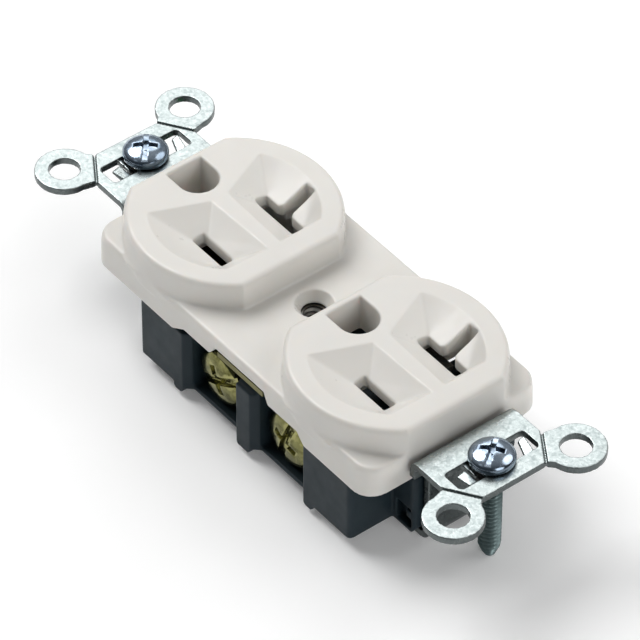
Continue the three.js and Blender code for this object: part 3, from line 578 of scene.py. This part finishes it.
def t_slot(x):
    """The neutral slot with its arm; the corners between them are rounded."""
    half, reach, edge = SLOT_WIDTH / 2, NEUTRAL_SLOT / 2, BLADE_Y + SLOT_WIDTH / 2
    fillet = edge + ARM_FILLET
    outline = np.concatenate([
        [[-reach, BLADE_Y - half], [reach, BLADE_Y - half], [reach, edge]],
        arc(half + ARM_FILLET, fillet, ARM_FILLET, 270, 180, 8), [[half, ARM_TIP], [-half, ARM_TIP]],
        arc(-half - ARM_FILLET, fillet, ARM_FILLET, 0, -90, 8), [[-reach, edge]],
    ])
    return prism(outline + [x, 0], COVER_LOW[2], FACE_TOP)


def slot_block(x, side, length, along, across, bottom, top):
    reach, half = length / 2 + along, SLOT_WIDTH / 2 + across
    return block(x - reach, x + reach, side * (BLADE_Y - half), side * (BLADE_Y + half), bottom, top)


def cover_shape():
    slab_rings = [(0, 0, COVER_LOW[2]), (0, 0.1, -2.0), (0, 0.22, -0.8), (0.05, 0.3, -0.45), (0.15, 0.45, -0.15),
                  (0.35, 0.65, 0.03), (0.6, 0.9, SLAB_TOP)]
    slab = loft([
        level(rounded_rectangle(SLAB_HALF[0] - dx, SLAB_HALF[1] - dy, SLAB_CORNER - dx), z)
        for dx, dy, z in slab_rings
    ])
    bottom = COVER_LOW[2]
    hollow = together(*[block(x0, x1, -half, half, bottom - 1, COVER_ROOF) for x0, x1, half in COVER_HOLLOWS])
    body = together(carve(slab, hollow), *[raised_face(x) for x in FACE_X])
    (left, left_end, left_fin), (right, right_end, right_fin) = WINDOW
    window = prism(np.array([
        [WINDOW_FEET[0], bottom - 0.5], [left, WINDOW_SILL], [left_end, WINDOW_SILL], [left_fin, COVER_ROOF],
        [right_fin, COVER_ROOF], [right_end, WINDOW_SILL], [right, WINDOW_SILL], [WINDOW_FEET[1], bottom - 0.5],
    ]), -20, 20, axis=1)
    (hole, hole_edge), (sink, sink_edge) = PLATE_HOLE
    tools = [window, loft([
        level(disc(0, 0, hole), bottom), level(disc(0, 0, hole), hole_edge),
        level(disc(0, 0, sink), sink_edge), level(disc(0, 0, sink), sink_edge + 2),
    ])]
    behind, half = COVER_ROOF - 1, SLOT_WIDTH / 2 + ARM_RELIEF
    for face in FACE_X:
        x = face + BLADE_X
        tools += [
            funnel(face, -1, HOT_SLOT), funnel(face, 1, NEUTRAL_SLOT), ground_hole(face), t_slot(x),
            slot_block(x, -1, HOT_SLOT, 0, 0, bottom, FACE_TOP),
            slot_block(x, -1, HOT_SLOT, *RELIEF, behind, RELIEF_TOP),
            slot_block(x, 1, NEUTRAL_SLOT, *RELIEF, behind, RELIEF_TOP),
            block(x - half, x + half, BLADE_Y, ARM_TIP + ARM_RELIEF, behind, RELIEF_TOP),
        ]
    return carve(body, *tools)


# ------------------------------------------------------------------ strap
def strap_profile():
    """Side view of the bent sheet as (x, z) points."""
    inner, low = BEND - STRAP, STRAP_BOTTOM
    upper_x, lower_x = LEG_OUTSIDE - STRAP + BEND, LEG_OUTSIDE - BEND

    def upper(end, radius, start, stop):
        return arc(end * upper_x, -BEND, radius, start, stop, 14)

    def lower(end, radius, start, stop):
        return arc(end * lower_x, low + BEND, radius, start, stop, 14)

    return np.concatenate([
        [[YOKE_END, 0]], upper(1, BEND, 90, 180), lower(1, inner, 0, -90), lower(-1, inner, 270, 180),
        upper(-1, BEND, 0, 90), [[-YOKE_END, 0], [-YOKE_END, -STRAP]], upper(-1, inner, 90, 0),
        lower(-1, BEND, 180, 270), lower(1, BEND, -90, 0), upper(1, inner, 180, 90), [[YOKE_END, -STRAP]],
    ])


# the tongues stamped in each mounting slot: corners from the screw's axis, and how far each is pressed down
TONGUES = [
    [(2.5, -5.7, 0.2), (2.5, -4.1, 0.3), (-1.2, -4.1, 0.5), (-1.2, -5.7, 0.95)],
    [(2.5, 4.4, 0.9), (2.5, 6.2, 0.3), (-1.3, 7.1, 0.3), (-1.3, 5.9, 0.8)],
    [(-2.5, -3.9, 0.2), (0.6, -3.6, 0.6), (0.6, -3.0, 0.9), (-2.5, -2.8, 0.4)],
    [(-2.5, 2.8, 0.4), (0.6, 3.0, 0.9), (0.6, 3.6, 0.6), (-2.5, 3.9, 0.2)],
]


def tongue(x, corners):
    top = [(x + cx, cy, -drop) for cx, cy, drop in corners]
    under = [(x + cx, cy, -STRAP) for cx, cy, _ in corners]
    return hull(np.array(top + under))


def strap_shape():
    profile = strap_profile()
    leg = prism(profile, -LEG_HALF_WIDTH, LEG_HALF_WIDTH, axis=1)
    ends = [block(end * 33, end * (YOKE_START + 1), -10, 10, SHOULDER_Z, 1) for end in (-1, 1)]
    shoulder = combine(prism(profile, -YOKE_HALF_WIDTH, YOKE_HALF_WIDTH, axis=1), together(*ends), "INTERSECT")
    chamfer_x, chamfer_y = YOKE_CHAMFER
    plates, holes = [leg, shoulder], []
    for end in (-1, 1):
        yoke = np.array([
            [YOKE_START, -YOKE_HALF_WIDTH], [chamfer_x, -YOKE_HALF_WIDTH], [YOKE_END, -chamfer_y],
            [YOKE_END, chamfer_y], [chamfer_x, YOKE_HALF_WIDTH], [YOKE_START, YOKE_HALF_WIDTH],
        ]) * [end, 1]
        plates.append(prism(yoke, -STRAP, 0))
        slot = rounded_rectangle(*MOUNT_SLOT) + [end * MOUNT_X, 0]
        holes.append(prism(slot, -STRAP - 1, 1))
        for side in (-1, 1):
            way = np.array([end, side])
            ear = np.array(EAR) * way
            start, stop = np.array([chamfer_x, YOKE_HALF_WIDTH]) * way, np.array([YOKE_END, chamfer_y]) * way
            neck = np.array([start, stop, ear + way * [4.0, -1.6], ear + way * [-4.2, 1.6]])
            plates += [prism(neck, -STRAP, 0), prism(disc(*ear, EAR_RADIUS, 96), -STRAP, 0)]
            corner = np.array([start, stop, stop + [end, 0], start + [end * 6, 0]])
            holes.append(prism(disc(*ear, EAR_HOLE_RADIUS, 80), -STRAP - 1, 1))
            along = (stop - start) / np.linalg.norm(stop - start)
            across = np.array([-along[1], along[0]])
            centre_line = np.array([start - along * 0.3, stop + along * 0.3])
            for surface, depth in ((0.0, -0.55), (-STRAP, 0.25)):
                groove = [level(centre_line + across * w, surface + h)
                          for w, h in ((-0.22, 0), (-0.1, depth), (0.1, depth), (0.22, 0))]
                above = [level(centre_line, surface - np.sign(depth) * 0.5)]
                holes.append(hull(np.concatenate(groove + above)))
    sheet = carve(together(*plates), *holes)
    tongues = [tongue(end * MOUNT_X, corners) for end in (-1, 1) for corners in TONGUES]
    tab = rounded_rectangle(5.1, 4.3, 1.6) + [10.1, centre_mm("ground_screw")[2]]
    ground_hole_at = centre_mm("ground_screw")[1:]
    tab_plate = carve(
        prism(tab, -LEG_OUTSIDE, STRAP - LEG_OUTSIDE, axis=0), prism(disc(*ground_hole_at, 2.35), -40, -30, axis=0),
    )
    return together(sheet, *tongues, tab_plate)


# ------------------------------------------------------------------ fasteners
SIDES = 72


def thread_rings(crest, depth, start, stop, taper=0.0):
    """Rings of a right-handed V thread about Z, from start up to stop, narrowed over taper mm at start."""
    per_turn = 8
    heights = np.arange(start, stop + 1e-6, PITCH / per_turn)
    angles = np.linspace(0, 2 * math.pi, SIDES, endpoint=False)
    rings = []
    for z in heights:
        phase = (z / PITCH - angles / (2 * math.pi)) % 1.0
        ridge = np.clip(1.25 - np.abs(phase * 2 - 1) * 1.5, 0, 1)
        fade = min(1.0, (stop - z) / PITCH)
        radius = crest - depth * (1 - ridge) * fade
        if taper:
            radius = radius * (0.55 + 0.45 * min(1.0, (z - start) / taper))
        rings.append(np.stack([radius * np.cos(angles), radius * np.sin(angles), np.full(SIDES, z)], 1))
    return rings


def turned_rings(pairs):
    return [level(disc(0, 0, radius, SIDES), z) for radius, z in pairs]


def screw_shape(head_radius, head_height, shank_radius, length, recess, taper=1.0, dome=0.5, slot=(0.0, 0.0)):
    """Screw about Z: head underside at 0, tip down. slot is the half width and depth of a slot across the
    head, on top of its cross recess of the given depth."""
    rim = head_height * (1 - dome)
    profile = [(head_radius - 0.25, 0.0), (head_radius - 0.05, 0.08), (head_radius, 0.25)]
    profile += [(head_radius * math.cos(a), rim + (head_height - rim) * math.sin(a))
                for a in np.radians([0, 12, 25, 38, 50, 62, 73, 83])]
    head = loft(turned_rings([(shank_radius * 0.9, -0.2)] + profile))
    floor, top = head_height - recess, head_height + 1
    tools = []
    arm, width = head_radius * 0.56, head_radius * 0.13
    for turn in (0, 90):
        spin = Matrix.Rotation(math.radians(turn), 4, "Z")
        flare = [
            level(rectangle(-arm * 0.72, arm * 0.72, -width * 0.8, width * 0.8), floor),
            level(rectangle(-arm, arm, -width, width), head_height),
            level(rectangle(-arm, arm, -width, width), top),
        ]
        tools.append(moved(loft(flare), spin))
    tools.append(hull(np.concatenate([
        level(disc(0, 0, 0.12, 8), floor - 0.15), level(disc(0, 0, arm * 0.42, 24), head_height),
        level(disc(0, 0, arm * 0.42, 24), top),
    ])))
    half_width, depth = slot
    if depth:
        reach = head_radius + 1
        tools.append(block(-reach, reach, -half_width, half_width, head_height - depth, top))
    head = broken_edges(carve(head, *tools), head_radius * 0.018)
    shank = loft(thread_rings(shank_radius, 0.42, -length, 0.1, taper))
    return together(head, shank)


AXIS_TURNS = {
    "+z": Matrix.Identity(4),
    "-y": Matrix.Rotation(math.radians(90), 4, "X"),
    "+y": Matrix.Rotation(math.radians(-90), 4, "X"),
    "-x": Matrix.Rotation(math.radians(-90), 4, "Y"),
    "-z": Matrix.Rotation(math.radians(180), 4, "X"),
}


def place_screw(node, shape, direction, head_height, slot, body=None, turn=0.0):
    """Stands a copy of the screw on its CAD node's axis, head outwards, with its slot turned."""
    low, high = box_mm(node)
    outward = AXIS_TURNS[direction]
    axis = outward @ Vector((0, 0, 1))
    middle = (low + high) / 2
    tip = Vector([high[i] if axis[i] > 0.5 else low[i] if axis[i] < -0.5 else middle[i] for i in range(3)])
    seat = tip - axis * head_height
    spin = Matrix.Rotation(math.radians(turn), 4, "Z")
    add(node + "_detail", moved(shape, Matrix.Identity(4)), body or node, slot, [node], smooth=35,
        place=Matrix.Translation(seat) @ outward @ spin)


def bush_shape():
    """Threaded bush behind the centre hole."""
    inside = thread_rings(1.8, 0.4, -9.9, -2.2)
    outside = turned_rings([(1.75, -2.1), (3.3, -2.1), (3.4, -2.2), (3.4, -3.1), (2.4, -3.1), (2.4, -10.0)])
    return loft(inside + outside + turned_rings([(1.75, -10.0)]), closed=True)


def rivet_shape(node):
    low, high = box_mm(node)
    bottom, top = low[2], high[2]
    return loft(turned_rings([
        (0.9, bottom), (1.5, bottom + 0.08), (2.0, bottom + 0.3), (2.3, bottom + 0.6), (1.3, bottom + 0.62),
        (1.3, top - 0.82), (2.3, top - 0.8), (2.2, top - 0.5), (1.7, top - 0.2), (0.8, top),
    ]))


def washer_shape(low, high, inner, outer):
    lip = 0.12
    return loft(turned_rings([
        (inner, low + lip), (inner + lip, low), (outer - lip, low), (outer, low + lip),
        (outer, high - lip), (outer - lip, high), (inner + lip, high), (inner, high - lip),
    ]), closed=True)


# ------------------------------------------------------------------ pieces
root = frame["nodes"]["cover"]["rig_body"]
add("cover_moulding", moulded(cover_shape(), 0.17, 6), root, "cover_nylon", ["cover"], smooth=180)
add("base_moulding", moulded(cad_copy("base"), 0.19, 4), root, "base_plastic", ["base"], smooth=180)
add("strap_sheet", moulded(strap_shape(), 0.15, 3), root, "galvanised_steel", ["mounting_strap"], smooth=180)
add("plate_bush_thread", bush_shape(), root, "plated_brass", ["plate_screw_bush"])
for node in ("ground_rivet_1", "ground_rivet_2"):
    x, y, _ = centre_mm(node)
    add(node + "_detail", rivet_shape(node), root, "brass_sheet", [node], place=Matrix.Translation((x, y, 0)))

TERMINAL = dict(head_radius=4.7, head_height=2.0, shank_radius=2.08, length=6.0, recess=1.45, taper=0.7,
                slot=(0.78, 1.1))
terminal_screw = screw_shape(**TERMINAL)
for direction, names, slot in (("-y", HOT_SCREWS, "brass_screw"), ("+y", NEUTRAL_SCREWS, "silver_screw")):
    for node, turn in zip(names, TERMINAL_TURNS):
        place_screw(node, terminal_screw, direction, TERMINAL["head_height"], slot, turn=turn)
place_screw("ground_screw", terminal_screw, "-x", TERMINAL["head_height"], "green_screw", turn=20)

MOUNTING = dict(head_radius=3.6, head_height=2.2, shank_radius=1.75, length=19.35, recess=1.36, taper=2.0,
                dome=0.7, slot=(0.42, 0.8))
mounting_screw = screw_shape(**MOUNTING)
for (end, node), turn in zip(MOUNTING_SCREWS.items(), MOUNTING_TURNS):
    place_screw(node, mounting_screw, "+z", MOUNTING["head_height"], "zinc_screw", turn=turn)
    retainer = "screw_retainer_" + end
    low, high = box_mm(retainer)
    x = centre_mm(retainer)[0]
    washer = washer_shape(low[2], high[2], RETAINER_HOLE, (high[0] - low[0]) / 2)
    add(retainer + "_detail", washer, retainer, "fibre_washer", [retainer], place=Matrix.Translation((x, 0, 0)))

CASE = dict(head_radius=1.8, head_height=1.4, shank_radius=1.0, length=14.2, recess=0.87, taper=1.5)
case_screw = screw_shape(**CASE)
for i in range(1, 5):
    place_screw(f"case_screw_{i}", case_screw, "-z", CASE["head_height"], "zinc_screw", body=root, turn=17 * i)

# carried-over CAD sheet-metal nodes keep their shape and get a fine broken edge
for entry in frame["record"]["subparts"]:
    node = frame["nodes"][entry["node"]]
    if node.hide_render:
        continue
    node.data.materials.clear()
    node.data.materials.append(MATERIALS[entry["material_slot"]])
    bevel = node.modifiers.new("broken_edge", "BEVEL")
    bevel.width = 0.08 * MM
    bevel.segments = 2
    bevel.limit_method = "ANGLE"
    bevel.angle_limit = math.radians(35)

# ------------------------------------------------------------------ floor, light and camera
CAMERA_LENS = 326.6
CAMERA_FROM = (51.609, 43.899)  # azimuth and elevation
CAMERA_DISTANCE = 0.863226
CAMERA_ROLL = 0.158
CAMERA_TARGET = (3.296, -1.492, 0)  # in millimetres from the ears' front plane
WORLD_BRIGHT_FROM = 231  # azimuth of the bright wall, opposite the camera
WORLD_DARK = (0.05, (0.21, 0.24, 0.26, 1))  # place on the ramp and colour
WORLD_BRIGHT = (0.85, (1, 1, 1, 1))
WORLD_STRENGTH = 0.06
WORLD_IN_METAL = 0.4  # the world is brighter where it is mirrored, which is a choice of looks and not physical
FLOOR_GLOW = 0.14  # strength of the light table's own light
low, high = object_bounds()


def soft_light(name, azimuth, elevation, distance, size, power, colour=(1, 1, 1)):
    """Round area light aimed at the object, placed by its direction from the object."""
    data = bpy.data.lights.new(name, "AREA")
    data.shape = "DISK"
    data.size = size
    data.energy = power
    data.color = colour
    light = bpy.data.objects.new(name, data)
    bpy.context.scene.collection.objects.link(light)
    light.location = direction(azimuth, elevation) * distance
    light.rotation_euler = direction(azimuth, elevation).to_track_quat("Z", "Y").to_euler()


def direction(azimuth, elevation):
    a, e = math.radians(azimuth), math.radians(elevation)
    return Vector((math.sin(a) * math.cos(e), -math.cos(a) * math.cos(e), math.sin(e)))


def make_floor():
    """White light table, faintly lit from within so that the shadow on it stays pale."""
    half, thickness = 3.0, 0.02
    mesh = prism(rectangle(-half, half, -half, half), low.z - thickness, low.z)
    floor = bpy.data.objects.new("floor", mesh)
    bpy.context.scene.collection.objects.link(floor)
    shader = Shader("floor_white")
    speck = shader.band(shader.noise(35, detail=2), 0.3, 0.7)
    white = shader.mix(speck, (0.93, 0.93, 0.93), (0.95, 0.95, 0.95))
    shader.set(Base_Color=white, Roughness=0.9, Emission_Color=white, Emission_Strength=FLOOR_GLOW)
    mesh.materials.append(shader.material)
    floor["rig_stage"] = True


def make_world():
    """Dim studio room: a bright ceiling and back wall, darker behind the camera."""
    world = bpy.data.worlds.new("studio")
    bpy.context.scene.world = world
    world.use_nodes = True
    tree = world.node_tree
    where = tree.nodes.new("ShaderNodeTexCoord").outputs["Generated"]
    lit = tree.nodes.new("ShaderNodeVectorMath")
    lit.operation = "DOT_PRODUCT"
    tree.links.new(where, lit.inputs[0])
    lit.inputs[1].default_value = direction(WORLD_BRIGHT_FROM, 50)
    ramp = tree.nodes.new("ShaderNodeValToRGB")
    tree.links.new(lit.outputs["Value"], ramp.inputs["Fac"])
    ramp.color_ramp.elements[0].position, ramp.color_ramp.elements[0].color = WORLD_DARK
    ramp.color_ramp.elements[1].position, ramp.color_ramp.elements[1].color = WORLD_BRIGHT
    background = tree.nodes["Background"]
    tree.links.new(ramp.outputs["Color"], background.inputs["Color"])
    strength = tree.nodes.new("ShaderNodeMapRange")
    tree.links.new(tree.nodes.new("ShaderNodeLightPath").outputs["Is Glossy Ray"], strength.inputs["Value"])
    strength.inputs["To Min"].default_value = WORLD_STRENGTH
    strength.inputs["To Max"].default_value = WORLD_IN_METAL
    tree.links.new(strength.outputs["Result"], background.inputs["Strength"])


def make_camera():
    """Long lens from above the near hot corner."""
    data = bpy.data.cameras.new("camera")
    data.sensor_width = 36.0
    data.lens = CAMERA_LENS
    data.clip_start, data.clip_end = 0.05, 20
    camera = bpy.data.objects.new("camera", data)
    bpy.context.scene.collection.objects.link(camera)
    target = Vector(CAMERA_TARGET) * MM + Vector((0, 0, PLANE))
    back = direction(*CAMERA_FROM)
    camera.location = target + back * CAMERA_DISTANCE
    roll = Matrix.Rotation(math.radians(CAMERA_ROLL), 4, "Z")
    camera.rotation_euler = (back.to_track_quat("Z", "Y").to_matrix().to_4x4() @ roll).to_euler()
    bpy.context.scene.camera = camera


make_floor()
make_world()
make_camera()
soft_light("key", 284, 53, 0.9, 0.6, 5.9)
soft_light("back", 231, 44, 1.0, 0.7, 1.9)
soft_light("right", 150, 40, 1.0, 0.8, 3.2)
soft_light("fill", 85, 22, 1.2, 0.7, 4.8)
soft_light("card", 350, 45, 1.1, 0.3, 0.1)
bpy.context.scene.view_settings.view_transform = "Standard"

low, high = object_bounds()
